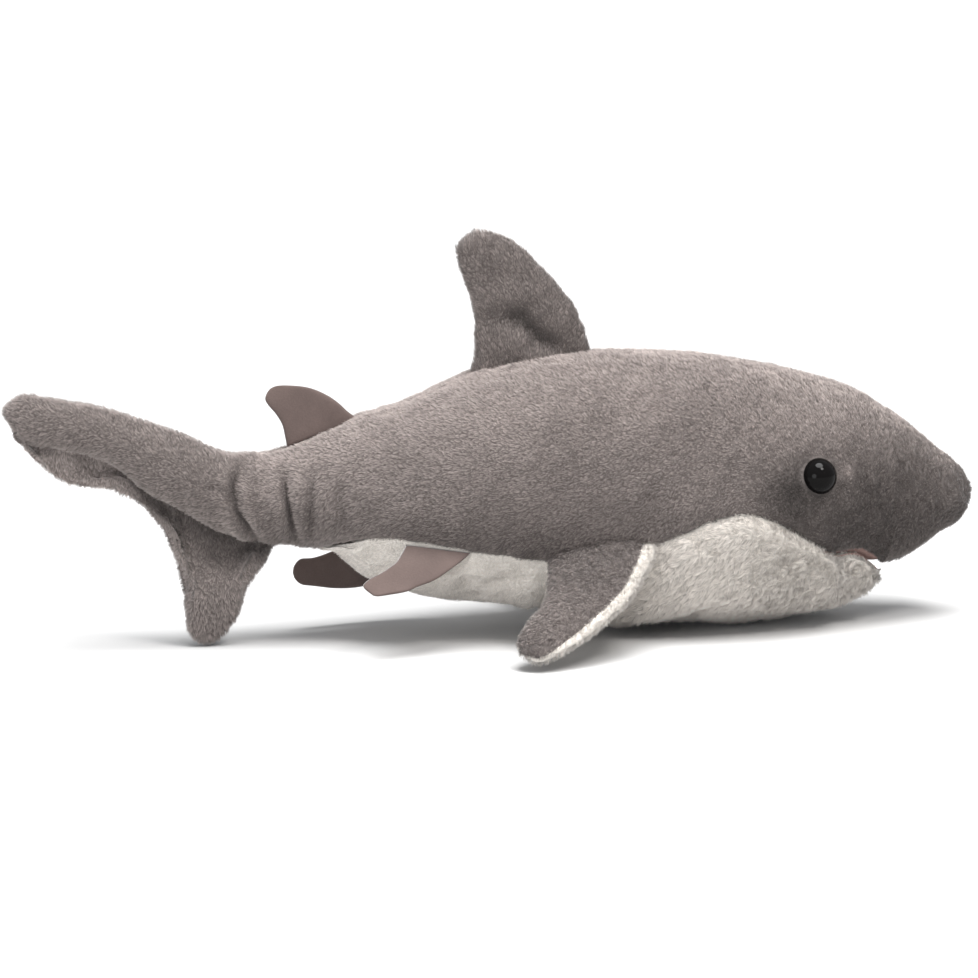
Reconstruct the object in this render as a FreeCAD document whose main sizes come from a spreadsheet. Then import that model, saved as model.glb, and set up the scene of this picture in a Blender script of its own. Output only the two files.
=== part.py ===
"""Plush shark, built as its sewn panels, stuffing, linings and safety eyes.

Millimetres. +X runs from tail to nose, +Y to the shark's left, +Z up; the origin is on the
surface it stands on, under the middle of its box. Every soft piece is a closed solid: each
plush panel is a shell as thick as backing cloth and pile together, each filling a core
inside it. Where the toy bends, two bodies meet at a round knuckle about the bend's axis.
"""

import FreeCAD, Part
import math
import os

from FreeCAD import Matrix, Placement, Rotation, Vector

doc = FreeCAD.newDocument("plush_shark")
sheet = doc.addObject("Spreadsheet::Sheet", "Dimensions")
next_row = 1

# Driving dimensions: alias, value in millimetres or degrees, and what it is.
DIMENSIONS = [
    ("skin", 2.4, "plush panel, backing cloth and pile together"),
    ("fin_skin", 1.8, "plush panel of a fin, trimmed shorter"),
    ("suede", 1.2, "suede sheet of the small fins"),
    ("lining", 0.8, "mouth lining cloth"),
    ("play", 0.3, "room between a skin and the filling inside it"),
    ("tail_x", -44.0, "tail bend axis"),
    ("tail_knuckle", 24.4, "radius of the tail knuckle"),
    ("tail_gap", 2.4, "room round the tail knuckle"),
    ("caudal_x", -86.0, "tail fin bend axis"),
    ("caudal_knuckle", 12.9, "radius of the tail fin knuckle"),
    ("caudal_gap", 1.4, "room round the tail fin knuckle"),
    ("belly_split_x", 14.0, "seam between the belly and throat panels"),
    ("mouth_z", 20.5, "roof of the mouth"),
    ("mouth_gap", 0.8, "gap between the two mouth linings"),
    ("jaw_x", 110.0, "jaw bend axis"),
    ("jaw_slope", 5.4, "how far the jaw's back face leans forward at its foot"),
    ("chin_radius", 25.0, "plan radius of the chin"),
    ("chin_tip_x", 132.6, "front of the chin"),
    ("lining_inset", 0.4, "mouth lining inside the edge of the chin"),
    ("eye_radius", 6.1, "safety eye dome"),
    ("eye_rise", 4.6, "height of the dome above its flat back"),
    ("eye_seat", 1.2, "depth that the eye's back sits in the pile"),
    ("post_radius", 2.0, "post of the safety eye"),
    ("post_length", 13.0, "post behind the dome"),
    ("washer_radius", 7.0, "locking washer"),
    ("washer_thick", 1.6, "locking washer"),
    ("washer_depth", 3.4, "dome back to washer, through the skin"),
    ("washer_bevel", 0.6, "bevel of the washer's rim"),
    ("ridge_depth", 0.35, "ridges moulded on the post"),
    ("fin_gap", 0.5, "room between a fin's root and the body"),
    ("dorsal_bulge", 1.6, "how far the back rises above the dorsal fin's root line"),
    ("pectoral_bulge", 0.6, "how far the side rises above a pectoral fin's root line"),
]

# Stations of each stuffed shape, from one end to the other.
# Body: x, lowest z, highest z, half width. Below z = 0 it is pressed flat where it rests.
BODY = [
    (-164.0, 76.5, 84.0, 2.6),
    (-159.5, 69.5, 87.4, 5.0),
    (-148.0, 59.0, 86.2, 7.2),
    (-132.0, 55.0, 82.4, 8.2),
    (-118.0, 47.6, 78.4, 9.4),
    (-104.0, 42.0, 72.2, 11.2),
    (-92.0, 36.6, 66.8, 12.6),
    (-80.0, 33.6, 65.4, 13.8),
    (-68.0, 32.6, 68.2, 16.0),
    (-56.0, 28.6, 72.6, 20.0),
    (-44.0, 20.8, 77.0, 24.2),
    (-30.0, 14.4, 81.2, 29.4),
    (-10.0, 10.2, 89.6, 35.2),
    (12.0, 5.6, 95.0, 39.4),
    (38.0, 0.8, 96.2, 42.0),
    (62.0, -0.5, 93.6, 42.4),
    (85.0, 0.4, 90.2, 41.4),
    (104.0, 3.0, 86.0, 38.0),
    (116.0, 5.2, 82.0, 34.4),
    (126.0, 8.4, 78.4, 30.2),
    (136.0, 13.8, 72.6, 24.6),
    (145.0, 20.0, 65.6, 19.0),
    (153.0, 26.2, 58.0, 14.2),
    (161.4, 31.8, 51.4, 9.0),
    (165.4, 36.2, 46.4, 4.2),
]
# Lower tail lobe: z, rear x, front x, thickness.
LOWER_LOBE = [
    (0.2, -101.5, -96.0, 2.4),
    (2.2, -103.6, -92.4, 5.4),
    (6.5, -105.4, -88.4, 8.0),
    (13.0, -106.4, -85.4, 9.8),
    (22.0, -108.0, -80.8, 11.0),
    (30.0, -110.0, -76.4, 12.0),
    (42.0, -113.0, -75.0, 12.6),
]
# Fins, in a frame with X along the root and Z along the span: span, trailing edge, leading edge, thickness.
DORSAL = [
    (0.0, 0.0, 40.8, 9.4),
    (8.0, 2.2, 40.0, 9.4),
    (17.0, 4.4, 37.0, 9.4),
    (26.0, 4.5, 32.0, 9.0),
    (34.0, 3.4, 27.0, 8.4),
    (40.0, 3.4, 21.6, 7.2),
    (43.5, 5.6, 17.0, 5.0),
    (45.2, 9.0, 13.0, 2.2),
]
PECTORAL = [
    (0.0, -18.5, 18.0, 10.4),
    (12.0, -20.4, 13.6, 10.4),
    (22.0, -23.0, 8.6, 9.8),
    (29.0, -29.0, 2.2, 9.0),
    (36.0, -32.6, -5.2, 7.8),
    (42.0, -31.8, -13.6, 6.4),
    (45.6, -29.4, -19.0, 4.6),
    (47.4, -26.8, -22.4, 2.2),
]
# Outlines of the suede fins, from the root's rear end round to its front end.
REAR_DORSAL = [(0.4, 0.8), (1.2, 6.1), (0.3, 11.2), (-1.4, 15.2), (0.0, 18.0), (4.2, 18.6),
               (12.1, 15.7), (19.0, 9.9), (24.4, 0.8)]
PELVIC_RIGHT = [(-10.6, 0.8), (-12.5, 7.0), (-16.5, 11.8), (-20.6, 15.6), (-21.6, 18.6), (-19.6, 20.8),
                (-15.0, 20.9), (-8.3, 18.8), (-1.5, 14.0), (5.4, 7.3), (10.4, 0.8)]
PELVIC_LEFT = [(-10.6, 0.8), (-20.0, 1.6), (-33.9, 3.8), (-41.4, 4.4), (-44.6, 7.3), (-43.2, 10.6),
               (-38.7, 14.1), (-32.0, 16.5), (-20.4, 18.5), (-6.0, 16.0), (5.0, 8.6), (10.4, 0.8)]
# Seam between the grey back and the white underside, seen from the side: x, z.
SEAM = [(-60.0, 33.6), (-41.0, 36.6), (-13.0, 32.6), (13.0, 28.4), (31.0, 29.4), (49.5, 33.6),
        (66.0, 40.8), (80.0, 43.4), (90.0, 39.6), (104.0, 31.4), (119.0, 22.0)]
# Underside of the snout in front of the mouth: x, z.
SNOUT_LINE = [(134.0, 20.5), (141.0, 22.4), (148.0, 26.4), (155.0, 30.4), (168.0, 35.5)]
WHITE_END_X = -60.0
SEAM_FRONT_X = 121.5

# Where each fin's root lies on the body: centre, along the root, along the span.
DORSAL_ROOT = (Vector(-6.6, 0, 90.8), Vector(40.4, 0, 5.8), Vector(-5.8, 0, 40.4))
REAR_DORSAL_ROOT = (Vector(-70.2, 0, 68.2), Vector(23.5, 0, 8.0), Vector(-8.0, 0, 23.5))
PECTORAL_ROOT = (Vector(31.5, -38.1, 30.7), Vector(36.2, -5.6, 5.1), Vector(-3.4, -45.2, -25.6))
PELVIC_RIGHT_ROOT = (Vector(-23.4, -29.4, 33.4), Vector(19.9, -4.0, -2.8), Vector(-5.1, -16.3, -13.0))
PELVIC_LEFT_ROOT = (Vector(-24.0, 29.4, 32.5), Vector(19.9, 4.4, 2.0), Vector(-6.0, 3.0, -17.0))
EYE_CENTRE = (105.7, 55.0)
REACH = 400.0


def write_cell(alias, value, note=""):
    """One named value in the sheet."""
    global next_row
    sheet.set(f"A{next_row}", alias)
    sheet.set(f"B{next_row}", str(value))
    sheet.set(f"C{next_row}", note)
    sheet.setAlias(f"B{next_row}", alias)
    next_row += 1


def value(alias):
    return float(sheet.get(alias))


def fill_sheet():
    for alias, number, note in DIMENSIONS:
        write_cell(alias, number, note)
    families = [
        ("body", BODY, ("place", "low", "top", "half")),
        ("lobe", LOWER_LOBE, ("place", "rear", "front", "thick")),
        ("dorsal", DORSAL, ("place", "rear", "front", "thick")),
        ("pectoral", PECTORAL, ("place", "rear", "front", "thick")),
    ]
    for family, stations, names in families:
        for number, station in enumerate(stations):
            for name, cell in zip(names, station):
                write_cell(f"{family}_{name}_{number:02d}", cell)
    doc.recompute()


def section(label, major, minor, place):
    """An elliptical section whose radii and place are expressions on the sheet."""
    ellipse = doc.addObject("Part::Ellipse", label)
    ellipse.MajorRadius = 100
    ellipse.MinorRadius = 1
    ellipse.setExpression("MinorRadius", minor)
    ellipse.setExpression("MajorRadius", major)
    for axis, expression in place.items():
        ellipse.setExpression(f"Placement.Base.{axis}", expression)
    return ellipse


def loft(label, sections):
    solid = doc.addObject("Part::Loft", label)
    solid.Sections = sections
    solid.Solid = True
    solid.Ruled = False
    return solid


def body_loft(label, inset, thinnest=0.0):
    """The body from tail tip to nose, drawn in by inset, without the stations thinner than thinnest."""
    sections = []
    kept = [number for number, station in enumerate(BODY) if station[3] > thinnest]
    for number in kept:
        cell = {name: f"Dimensions.body_{name}_{number:02d}" for name in ("place", "low", "top", "half")}
        shift = {kept[0]: f" + ({inset})", kept[-1]: f" - ({inset})"}.get(number, "")
        ellipse = section(
            f"{label}_{number:02d}",
            f"({cell['top']} - {cell['low']}) / 2 - ({inset})",
            f"{cell['half']} - ({inset})",
            {"x": cell["place"] + shift, "z": f"({cell['top']} + {cell['low']}) / 2"},
        )
        ellipse.Placement.Rotation = Rotation(Vector(0, 1, 0), -90)
        sections.append(ellipse)
    return loft(label, sections)


def slab_sections(label, family, numbers, inset):
    """Sections of a stuffed flat shape stacked along Z, chord along X and thickness along Y."""
    sections = []
    names = ("place", "rear", "front", "thick")
    for number in numbers:
        cell = {name: f"Dimensions.{family}_{name}_{number:02d}" for name in names}
        sections.append(section(
            f"{label}_{number:02d}",
            f"({cell['front']} - {cell['rear']}) / 2 - ({inset})",
            f"{cell['thick']} / 2 - ({inset})",
            {"x": f"({cell['front']} + {cell['rear']}) / 2", "z": cell["place"]},
        ))
    return sections


def slab_loft(label, family, stations):
    """The outer surface of a fin or lobe."""
    return loft(label, slab_sections(label, family, range(len(stations)), "0"))


def slab_core(label, family, stations, inset):
    """The surface inside a fin's skin, without the end stations too thin to hold any filling."""
    thinnest = 2 * value("fin_skin") + 2.0
    thick = [number for number, station in enumerate(stations) if station[3] > thinnest]
    return loft(label, slab_sections(label, family, thick, inset))


def box(label, low, high):
    shape = doc.addObject("Part::Box", label)
    shape.Length, shape.Width, shape.Height = [b - a for a, b in zip(low, high)]
    shape.Placement.Base = Vector(*low)
    return shape


def upright(label, place, radius):
    """A tall cylinder about Z through the point (place, 0)."""
    shape = doc.addObject("Part::Cylinder", label)
    shape.Height = REACH
    shape.setExpression("Radius", radius)
    shape.setExpression("Placement.Base.x", place)
    shape.Placement.Base.z = -REACH / 2
    return shape


def lying(label, height, radius):
    """A long cylinder along X, at the given height: the round root of a fin."""
    shape = doc.addObject("Part::Cylinder", label)
    shape.Height = REACH
    shape.Radius = radius
    shape.Placement = Placement(Vector(-REACH / 2, 0, height), Rotation(Vector(0, 1, 0), 90))
    return shape


def cut(label, base, tool):
    shape = doc.addObject("Part::Cut", label)
    shape.Base, shape.Tool = base, tool
    return shape


def fuse(label, *shapes):
    shape = doc.addObject("Part::MultiFuse", label)
    shape.Shapes = list(shapes)
    return shape


def common(label, *shapes):
    """What all the shapes share. Each level takes two, because FreeCAD's Common does."""
    for number, tool in enumerate(shapes[1:], 1):
        shape = doc.addObject("Part::Common", label if number == len(shapes) - 1 else f"{label}_in_{number}")
        shape.Base, shape.Tool = shapes[0] if number == 1 else previous, tool
        previous = shape
    return shape


def side_prism(label, edges):
    """A closed outline in the XZ plane, extruded right across the body."""
    sketch = doc.addObject("Sketcher::SketchObject", f"{label}_sketch")
    sketch.Placement = Placement(Vector(0, 0, 0), Rotation(Vector(1, 0, 0), 90))
    for edge in edges:
        sketch.addGeometry(edge, False)
    prism = doc.addObject("Part::Extrusion", label)
    prism.Base = sketch
    prism.DirMode = "Custom"
    prism.Dir = Vector(0, 1, 0)
    prism.LengthFwd = REACH
    prism.Symmetric = True
    prism.Solid = True
    return prism


def lines(points):
    flat = [Vector(x, y, 0) for x, y in points]
    return [Part.LineSegment(a, b) for a, b in zip(flat, flat[1:])]


def spline(points):
    curve = Part.BSplineCurve()
    curve.interpolate([Vector(x, y, 0) for x, y in points])
    return curve


def frame_at(root):
    """The placement whose X runs along a fin's root and whose Z runs along its span."""
    origin, along, span = root
    x = Vector(along).normalize()
    z = (span - x * span.dot(x)).normalize()
    y = z.cross(x)
    rows = [(x[k], y[k], z[k], origin[k]) for k in range(3)]
    return Placement(Matrix(*rows[0], *rows[1], *rows[2], 0, 0, 0, 1))


def mirrored(root):
    """The same root on the other side of the body."""
    return tuple(Vector(v.x, -v.y, v.z) for v in root)


def half_width(x, z):
    """Half the body's width at a place, between its stations."""
    for a, b in zip(BODY, BODY[1:]):
        if a[0] <= x <= b[0]:
            low, top, half = (a[k] + (b[k] - a[k]) * (x - a[0]) / (b[0] - a[0]) for k in (1, 2, 3))
            return half * math.sqrt(1 - ((2 * z - top - low) / (top - low)) ** 2)
    raise ValueError(f"no body at x = {x}")


def eye_frame(side):
    """Placement on the skin with Z pointing out of the cheek; side is -1 on the right and 1 on the left."""
    x, z = EYE_CENTRE
    step = 2.0
    point = Vector(x, side * half_width(x, z), z)
    ahead = Vector(x + step, side * half_width(x + step, z), z) - point
    above = Vector(x, side * half_width(x, z + step), z + step) - point
    out = (above.cross(ahead) * side).normalize()
    return Placement(point - out * value("eye_seat"), Rotation(Vector(0, 0, 1), out))


def named(shape, parts):
    """Takes a finished shape as the sub-part of the same name."""
    parts[shape.Name] = shape
    return shape


def make_envelopes():
    """The body's outer surface, and the surface inside its skin."""
    outer = body_loft("body_outer", "0")
    floor = box("rest_floor", (-REACH, -REACH, -REACH / 2), (REACH, REACH, 0))
    thinnest = value("skin") + value("play") + 1.0
    inner = body_loft("body_inner", "Dimensions.skin", thinnest)
    core = body_loft("body_core", "Dimensions.skin + Dimensions.play", thinnest)
    return cut("body_rested", outer, floor), inner, core


def behind(label, bend, gap=""):
    """Everything behind a bend's axis, with the round knuckle about that axis."""
    back = box(f"{label}_back", (-REACH, -REACH, -REACH), (0, REACH, REACH))
    back.setExpression("Length", f"Dimensions.{bend}_x + {REACH}")
    knuckle = upright(f"{label}_knuckle", f"Dimensions.{bend}_x", f"Dimensions.{bend}_knuckle{gap}")
    return fuse(label, back, knuckle)


def make_regions():
    """The cutting shapes that say which body, side and colour a piece of the skin belongs to."""
    regions = {}
    regions["behind_tail"] = behind("behind_tail", "tail")
    regions["tail_room"] = behind("tail_room", "tail", " + Dimensions.tail_gap")
    regions["behind_caudal"] = behind("behind_caudal", "caudal")
    regions["caudal_room"] = behind("caudal_room", "caudal", " + Dimensions.caudal_gap")
    regions["right"] = box("right_side", (-REACH, -REACH, -REACH), (REACH, 0, REACH))
    regions["left"] = box("left_side", (-REACH, 0, -REACH), (REACH, REACH, REACH))
    seam_end = (SEAM_FRONT_X, value("mouth_z"))
    white = [(WHITE_END_X, SEAM[0][1]), (WHITE_END_X, -REACH), (SEAM_FRONT_X, -REACH), seam_end, SEAM[-1]]
    regions["white"] = side_prism("white_area", [spline(SEAM)] + lines(white))
    snout = SNOUT_LINE[-1][0]
    jaw_x = value("jaw_x")
    mouth_z = value("mouth_z")
    below = [SNOUT_LINE[-1], (snout, -REACH), (jaw_x, -REACH), (jaw_x, mouth_z), SNOUT_LINE[0]]
    regions["under_head"] = side_prism("under_head", [spline(SNOUT_LINE)] + lines(below))
    skin = value("skin")
    raised = [(x, z + skin) for x, z in SNOUT_LINE]
    lined = [raised[-1], (snout, -REACH), (jaw_x - skin, -REACH), (jaw_x - skin, mouth_z + skin), raised[0]]
    regions["under_head_lined"] = side_prism("under_head_lined", [spline(raised)] + lines(lined))
    return regions


def make_torso(outer, inner, core, regions, parts):
    """Back, belly and throat panels with the filling inside them; returns the outer torso."""
    headed = cut("torso_headed", outer, regions["under_head"])
    whole = cut("torso_whole", headed, regions["tail_room"])
    headed = cut("hollow_headed", inner, regions["under_head_lined"])
    hollow = cut("torso_hollow", headed, regions["tail_room"])
    skin = cut("torso_skin", whole, hollow)
    grey = cut("torso_grey", skin, regions["white"])
    white = common("torso_white", skin, regions["white"])
    split = value("belly_split_x")
    belly_side = box("belly_side", (-REACH, -REACH, -REACH), (split, REACH, REACH))
    throat_side = box("throat_side", (split, -REACH, -REACH), (REACH, REACH, REACH))
    named(common("belly_panel", white, belly_side), parts)
    named(common("throat_panel", white, throat_side), parts)
    filling = cut("filling_headed", core, regions["under_head_lined"])
    filling = cut("filling_behind", filling, regions["tail_room"])
    for side in ("right", "left"):
        panel = common(f"grey_{side}", grey, regions[side])
        frame = eye_frame(-1 if side == "right" else 1)
        seat = doc.addObject("Part::Cylinder", f"eye_seat_{side}")
        seat.setExpression("Radius", "Dimensions.eye_radius + 0.1")
        seat.Height = REACH / 20
        seat.Placement = frame
        hole = doc.addObject("Part::Cylinder", f"post_hole_{side}")
        hole.setExpression("Radius", "Dimensions.post_radius + 0.1")
        hole.Height = REACH / 10
        hole.Placement = frame.multiply(Placement(Vector(0, 0, -REACH / 20), Rotation()))
        named(cut(f"back_panel_{side}", panel, fuse(f"eye_opening_{side}", seat, hole)), parts)
        pocket = doc.addObject("Part::Cylinder", f"washer_pocket_{side}")
        pocket.setExpression("Radius", "Dimensions.washer_radius + Dimensions.play")
        depth = value("post_length") + value("play")
        pocket.Height = depth + 2
        pocket.Placement = frame.multiply(Placement(Vector(0, 0, -depth), Rotation()))
        filling = cut(f"filling_{side}", filling, pocket)
    filling.Label = "torso_stuffing"
    parts["torso_stuffing"] = filling


def make_jaw(outer, inner, core, parts):
    """Chin panel, its filling and the two mouth linings. The jaw's back face leans so that it can drop."""
    jaw_x, mouth_z, lining, gap = (value(k) for k in ("jaw_x", "mouth_z", "lining", "mouth_gap"))
    play, skin = value("play"), value("skin")
    floor_top = mouth_z - lining - gap
    lean = value("jaw_slope")

    def plan(label, inset):
        shape = doc.addObject("Part::Cylinder", label)
        shape.setExpression("Radius", f"Dimensions.chin_radius - ({inset})")
        shape.setExpression("Placement.Base.x", "Dimensions.chin_tip_x - Dimensions.chin_radius")
        shape.Placement.Base.z = -REACH / 2
        shape.Height = REACH
        return shape

    def wedge(label, top, back):
        edges = [(jaw_x + back, top), (jaw_x + back + lean, -REACH / 20), (REACH, -REACH / 20), (REACH, top)]
        return side_prism(label, lines(edges + edges[:1]))

    clear = value("fin_gap")
    whole = common("jaw_whole", outer, plan("chin_plan", "0"), wedge("jaw_wedge", floor_top - lining, clear))
    hollow = common("jaw_hollow", inner, plan("chin_inner", "Dimensions.skin"),
                    wedge("jaw_hollow_wedge", floor_top, clear))
    named(cut("chin_panel", whole, hollow), parts)
    named(common("jaw_stuffing", core, plan("chin_core", "Dimensions.skin + Dimensions.play"),
                 wedge("jaw_core_wedge", floor_top - lining - play, clear + play)), parts)
    sheet_room = box("floor_sheet", (jaw_x + clear, -REACH, floor_top - lining), (REACH, REACH, floor_top))
    floor_plan = plan("floor_plan", "Dimensions.lining_inset")
    named(common("mouth_floor_lining", outer, floor_plan, sheet_room), parts)
    roof = box("roof_sheet", (jaw_x, -REACH, mouth_z - lining), (REACH, REACH, mouth_z))
    named(common("palate_lining", outer, plan("roof_plan", "2 * Dimensions.lining_inset"), roof), parts)


def make_tail(outer, inner, core, regions, parts):
    """Tail stock between the two bends, and the tail fin with its two lobes."""

    def stock(label, surface):
        back = common(f"{label}_back", surface, regions["behind_tail"])
        return cut(label, back, regions["caudal_room"])

    skin = cut("stock_skin", stock("stock_whole", outer), stock("stock_hollow", inner))
    stock_core = stock("stock_core", core)
    grey = cut("stock_grey", skin, regions["white"])
    for side in ("right", "left"):
        named(common(f"tail_stock_panel_{side}", grey, regions[side]), parts)
    named(common("tail_underside_panel", skin, regions["white"]), parts)
    stock_core.Label = "tail_stock_stuffing"
    parts["tail_stock_stuffing"] = stock_core

    lobe = slab_loft("lobe_outer", "lobe", LOWER_LOBE)
    upper = common("upper_lobe", outer, regions["behind_caudal"])
    whole = fuse("caudal_whole", upper, lobe)
    upper_hollow = common("upper_lobe_in", inner, regions["behind_caudal"])
    lobe_core = slab_core("lobe_core", "lobe", LOWER_LOBE, "Dimensions.fin_skin")
    hollow = fuse("caudal_hollow", upper_hollow, lobe_core)
    skin = cut("caudal_skin", whole, hollow)
    for side in ("right", "left"):
        named(common(f"tail_fin_panel_{side}", skin, regions[side]), parts)
    named(common("upper_lobe_stuffing", core, regions["behind_caudal"]), parts)
    lobe_fill = slab_core("lobe_fill", "lobe", LOWER_LOBE, "Dimensions.fin_skin + Dimensions.play")
    above = common("lobe_ceiling", inner, regions["behind_caudal"])
    named(cut("lower_lobe_stuffing", lobe_fill, above), parts)


def fin_reach(label, height, radius):
    """The span of a fin above its bend's axis, ended by a round root about that axis."""
    room = box(f"{label}_span", (-REACH, -REACH, height), (REACH, REACH, REACH))
    return fuse(f"{label}_reach", room, lying(f"{label}_root", height, radius))


def make_plush_fin(family, stations, labels, root_line, bulge, parts):
    """Two plush panels and their filling; labels name the panel at -Y, the panel at +Y and the filling."""
    right_or_low, left_or_high, filling = labels
    name = f"{filling}_fin"
    placement = frame_at(root_line)
    root = stations[0][3] / 2
    inset = value("fin_skin")
    play = value("play")
    height = value(bulge) + value("fin_gap") + root
    outer = slab_loft(f"{name}_outer", family, stations)
    whole = common(f"{name}_whole", outer, fin_reach(f"{name}_whole", height, root))
    inner = slab_core(f"{name}_inner", family, stations, "Dimensions.fin_skin")
    hollow = common(f"{name}_hollow", inner, fin_reach(f"{name}_hollow", height, root - inset))
    skin = cut(f"{name}_skin", whole, hollow)
    for label, low, high in ((right_or_low, -REACH, 0), (left_or_high, 0, REACH)):
        half = box(f"{label}_half", (-REACH, low, -REACH), (REACH, high, REACH))
        named(common(label, skin, half), parts).Placement = placement
    core = slab_core(f"{name}_core", family, stations, "Dimensions.fin_skin + Dimensions.play")
    room = fin_reach(f"{name}_core", height, root - inset - play)
    named(common(filling, core, room), parts).Placement = placement


def make_suede_fin(name, outline, placement, parts):
    """A flat suede fin, padded evenly about the plane of its outline."""
    body = doc.addObject("PartDesign::Body", name)
    sketch = body.newObject("Sketcher::SketchObject", f"{name}_outline")
    plane = next(f for f in body.Origin.OriginFeatures if f.Role == "XZ_Plane")
    sketch.AttachmentSupport = [(plane, "")]
    sketch.MapMode = "FlatFace"
    sketch.addGeometry(spline(outline), False)
    sketch.addGeometry(Part.LineSegment(Vector(*outline[-1], 0), Vector(*outline[0], 0)), False)
    pad = body.newObject("PartDesign::Pad", f"{name}_pad")
    pad.Profile = sketch
    pad.setExpression("Length", "Dimensions.suede")
    pad.Midplane = True
    body.Placement = placement
    return named(body, parts)


def turned(name, profile, placement, parts):
    """A piece of revolution about its own Z, from its half profile in X and Z."""
    body = doc.addObject("PartDesign::Body", name)
    sketch = body.newObject("Sketcher::SketchObject", f"{name}_profile")
    plane = next(f for f in body.Origin.OriginFeatures if f.Role == "XZ_Plane")
    sketch.AttachmentSupport = [(plane, "")]
    sketch.MapMode = "FlatFace"
    for edge in profile:
        sketch.addGeometry(edge, False)
    revolution = body.newObject("PartDesign::Revolution", f"{name}_turned")
    revolution.Profile = sketch
    revolution.ReferenceAxis = (sketch, ["V_Axis"])
    revolution.Angle = 360
    body.Placement = placement
    return named(body, parts)


def eye_profile():
    """Half profile of a dome, its flat back and its ridged post."""
    radius, rise = value("eye_radius"), value("eye_rise")
    post, length = value("post_radius"), value("post_length")
    ball = (radius ** 2 + rise ** 2) / (2 * rise)
    half_angle = math.asin(radius / ball) / 2
    middle = Vector(ball * math.sin(half_angle), rise - ball + ball * math.cos(half_angle), 0)
    dome = Part.Arc(Vector(0, rise, 0), middle, Vector(radius, 0, 0))
    plain = value("washer_depth") + 2 * value("washer_thick")
    ridges = 5
    pitch = (length - plain) / (ridges + 1)
    steps = [(radius, 0), (post, 0), (post, -plain)]
    for number in range(ridges):
        steps.append((post - value("ridge_depth"), -plain - (number + 0.5) * pitch))
        steps.append((post, -plain - (number + 1) * pitch))
    steps += [(post / 2, -length), (0, -length), (0, rise)]
    return [dome] + lines(steps)


def washer_profile():
    """Half profile of a locking washer, a snug running fit on the plain part of the post."""
    clearance = 0.02
    bore, rim, bevel = value("post_radius") + clearance, value("washer_radius"), value("washer_bevel")
    top = -value("washer_depth")
    low = top - value("washer_thick")
    return lines([(bore, top), (rim - bevel, top), (rim, top - bevel), (rim, low), (bore, low), (bore, top)])


def make_eyes(parts):
    """Safety eyes: a dome on a ridged post, locked by a washer behind the skin."""
    for side, sign in (("right", -1), ("left", 1)):
        frame = eye_frame(sign)
        turned(f"eye_{side}", eye_profile(), frame, parts)
        turned(f"eye_washer_{side}", washer_profile(), frame, parts)


def check_and_write(parts):
    """Stops on any failed object or bad shape, then writes one STEP file for each sub-part."""
    doc.recompute()
    for thing in doc.Objects:
        if {"Invalid", "Error"} & set(thing.State):
            raise RuntimeError(f"{thing.Name} failed: {thing.State}")
    for name, thing in parts.items():
        shape = thing.Shape
        if shape.isNull() or not shape.isValid() or not shape.Solids:
            raise RuntimeError(f"{name} has no valid solid")
    os.makedirs("parts", exist_ok=True)
    for name, thing in parts.items():
        thing.Label = name
        thing.Shape.exportStep(os.path.join("parts", f"{name}.step"))
        size = thing.Shape.BoundBox
        print(f"{name:28s} solids {len(thing.Shape.Solids)}  volume {thing.Shape.Volume:9.0f}  "
              f"x {size.XMin:7.1f} {size.XMax:7.1f}  y {size.YMin:6.1f} {size.YMax:6.1f}  "
              f"z {size.ZMin:6.1f} {size.ZMax:6.1f}")


def main():
    parts = {}
    fill_sheet()
    outer, inner, core = make_envelopes()
    regions = make_regions()
    make_torso(outer, inner, core, regions, parts)
    make_jaw(outer, inner, core, parts)
    make_tail(outer, inner, core, regions, parts)
    dorsal_labels = ("dorsal_fin_panel_right", "dorsal_fin_panel_left", "dorsal_fin_stuffing")
    make_plush_fin("dorsal", DORSAL, dorsal_labels, DORSAL_ROOT, "dorsal_bulge", parts)
    right_labels = ("pectoral_under_panel_right", "pectoral_top_panel_right", "pectoral_stuffing_right")
    make_plush_fin("pectoral", PECTORAL, right_labels, PECTORAL_ROOT, "pectoral_bulge", parts)
    left_labels = ("pectoral_top_panel_left", "pectoral_under_panel_left", "pectoral_stuffing_left")
    make_plush_fin("pectoral", PECTORAL, left_labels, mirrored(PECTORAL_ROOT), "pectoral_bulge", parts)
    make_suede_fin("rear_dorsal_fin", REAR_DORSAL, frame_at(REAR_DORSAL_ROOT), parts)
    make_suede_fin("pelvic_fin_right", PELVIC_RIGHT, frame_at(PELVIC_RIGHT_ROOT), parts)
    make_suede_fin("pelvic_fin_left", PELVIC_LEFT, frame_at(PELVIC_LEFT_ROOT), parts)
    make_eyes(parts)
    check_and_write(parts)


main()
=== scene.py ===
"""Plush shark: sewn panels inflated by cloth simulation, with a real pile of strands on them.

Shapes are worked out in millimetres, in the frame of the CAD model, and turned into metres
when a mesh is made. Each panel is a grid of points between its seams. The cloth simulation
says how far the stuffing pushes a coarse copy of the grid out, and the fine grid takes that
up, with its creases, puckers and tufts. Then Geometry Nodes grow the pile on it.
"""

import math

import bpy
import numpy as np
from mathutils import Matrix, Vector


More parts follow.
